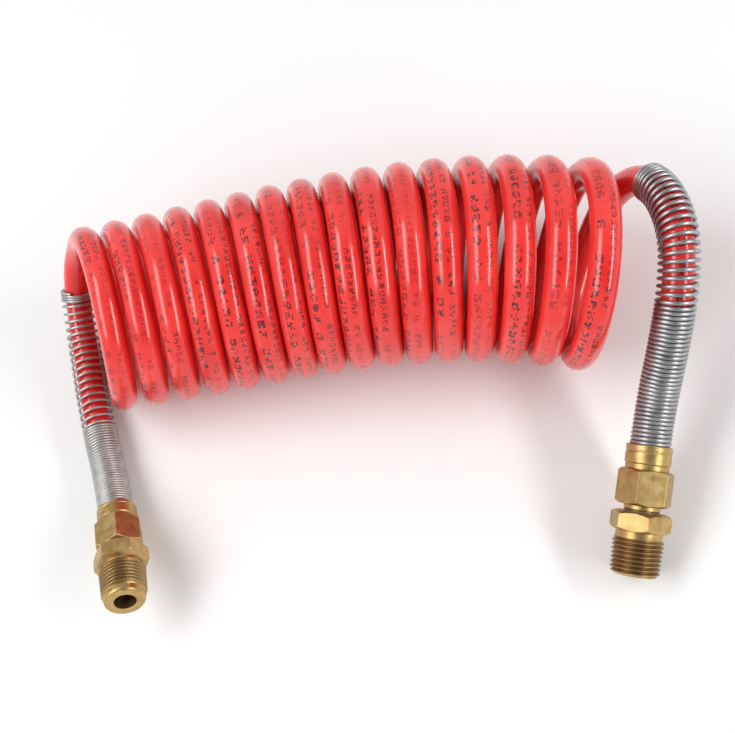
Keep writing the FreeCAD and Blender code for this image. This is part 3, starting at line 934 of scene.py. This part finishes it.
def guard_collar(side, material):
    """The turned ring that holds the guard's end, with a narrow neck and a worn groove."""
    piece = Turning(side + "_collar", side, edge=COLLAR_EDGE)
    seam = (NUT_REAR, SPIGOT_R + COLLAR_SEAM)
    neck_end, shoulder = (NUT_REAR + step for step in COLLAR_NECK)
    outline = [seam, (NUT_REAR, COLLAR_NECK_R), (neck_end, COLLAR_NECK_R), (shoulder, COLLAR_R)]
    groove = COLLAR_REAR - COLLAR_GROOVE
    depths = (0.0, GROOVE_DEPTH, GROOVE_DEPTH, 0.0)
    outline += [(groove + step, COLLAR_R - depth) for step, depth in zip(GROOVE_STEPS, depths)]
    outline += [(COLLAR_REAR - COLLAR_CHAMFER[0], COLLAR_R), (COLLAR_REAR, COLLAR_R - COLLAR_CHAMFER[1]),
                (COLLAR_REAR, COLLAR_BORE_R), (GUARD_START, COLLAR_BORE_R), (GUARD_START, SPIGOT_R),
                (NUT_REAR, SPIGOT_R), seam]
    piece.band(outline)
    return piece.finish(side + "_end", side + "_guard_collar", material)


# ---------------------------------------------------------------- materials of the CAD nodes that stay
def finish_inner_nodes(brass, bright):
    """Give the fittings' inner pieces their own finishes."""
    rubber = rubber_material()
    washer = washer_material()
    finishes = {
        "left_ferrule": brass, "right_ferrule": brass,
        "left_tube_insert": brass, "right_tube_insert": brass,
        "right_retaining_ring": bright, "right_thrust_washer": washer,
        "right_front_o_ring": rubber, "right_rear_o_ring": rubber,
    }
    for node, material in finishes.items():
        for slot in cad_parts[node].material_slots:
            slot.material = material


def washer_material():
    """The thrust washer's bronze-filled plastic."""
    m = Nodes("washer_plastic")
    cloud = m.noise(m.place(), 700.0, 3.0)
    m.set(Base_Color=m.ramp(cloud, [(0.3, (0.15, 0.10, 0.06)), (0.7, (0.24, 0.17, 0.11))]))
    m.set(Roughness=0.45, Normal=m.bump(cloud, 0.1, 0.0001))
    return m.material


# ---------------------------------------------------------------- floor and light
FLOOR_HALF = 3.0
WORLD_STRENGTH = 0.66
# The surround's brightness against the cosine of the angle from the middle of its darker patch.
WORLD_RAMP = ((0.62, 1.0), (0.95, 0.22))
LAMP_TARGET = Vector((0.0, 0.0, 0.03))
LAMP_DISTANCE = 1.1
LAMPS = (
    {"name": "left_softbox", "way": (-1.0, 0.15, 0.85), "size": (0.45, 1.2), "power": 8.0},
    {"name": "right_strip", "way": (1.0, 0.1, 1.05), "size": (0.14, 1.1), "power": 6.0},
)


def make_floor():
    """A plain pale floor that fades into the background."""
    half = FLOOR_HALF
    corners = [(-half, -half, 0), (half, -half, 0), (half, half, 0), (-half, half, 0)]
    floor = new_object("floor", corners, [(0, 1, 2, 3)], smooth=False)
    m = Nodes("floor")
    m.set(Base_Color=grey(0.93), Roughness=0.9, Specular_IOR_Level=0.0)
    floor.data.materials.append(m.material)


def softbox(name, way, size, power):
    """A soft lamp in a direction given along the view's right, up and backward axes."""
    data = bpy.data.lights.new(name, "AREA")
    data.shape = "RECTANGLE"
    data.size, data.size_y = size
    data.energy = power
    lamp = bpy.data.objects.new(name, data)
    back = (VIEW_RIGHT * way[0] + VIEW_UP * way[1] + VIEW_BACK * way[2]).normalized()
    place = LAMP_TARGET + back * LAMP_DISTANCE
    side = VIEW_UP.cross(back).normalized()
    lamp.matrix_world = axes_matrix(side, back.cross(side), back, place)
    bpy.context.collection.objects.link(lamp)


def make_world():
    """A soft white surround with a darker patch over the middle, for metal to reflect."""
    world = bpy.data.worlds.new("studio")
    world.use_nodes = True
    tree = world.node_tree
    background = tree.nodes["Background"]
    direction = tree.nodes.new("ShaderNodeTexCoord")
    across = tree.nodes.new("ShaderNodeVectorMath")
    across.operation = "DOT_PRODUCT"
    across.inputs[1].default_value = VIEW_BACK
    ramp = tree.nodes.new("ShaderNodeValToRGB")
    for point, (position, value) in zip(ramp.color_ramp.elements, WORLD_RAMP):
        point.position = position
        point.color = grey(value)
    tree.links.new(direction.outputs["Generated"], across.inputs[0])
    tree.links.new(across.outputs["Value"], ramp.inputs["Fac"])
    tree.links.new(ramp.outputs["Color"], background.inputs["Color"])
    background.inputs["Strength"].default_value = WORLD_STRENGTH
    bpy.context.scene.world = world


def light_scene():
    make_world()
    for lamp in LAMPS:
        softbox(**lamp)
    bpy.context.scene.view_settings.view_transform = "Standard"


def main():
    make_camera()
    line = Line(nurbs_line(hose_route(), LINE_STEPS))
    hose = make_hose(line)
    matte_wire = steel_material("guard_steel_matte", **MATTE_STEEL)
    bright_wire = steel_material("guard_steel_bright", **BRIGHT_STEEL)
    make_guard("left", line, matte_wire)
    carried = [make_guard("right", line, bright_wire)]

    brass = brass_material("brass_turned", **BRASS)
    connector_body(brass)
    for side in ("left", "right"):
        nut = compression_nut(side, brass)
        collar = guard_collar(side, brass)
        if side == "right":
            carried += [nut, collar]
    carried += [swivel_body(brass), swivel_stem(brass)]
    finish_inner_nodes(brass, bright_wire)
    carried += [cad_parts[node] for node in (
        "right_ferrule", "right_tube_insert", "right_front_o_ring", "right_rear_o_ring",
        "right_thrust_washer", "right_retaining_ring")]
    make_floor()
    light_scene()


main()
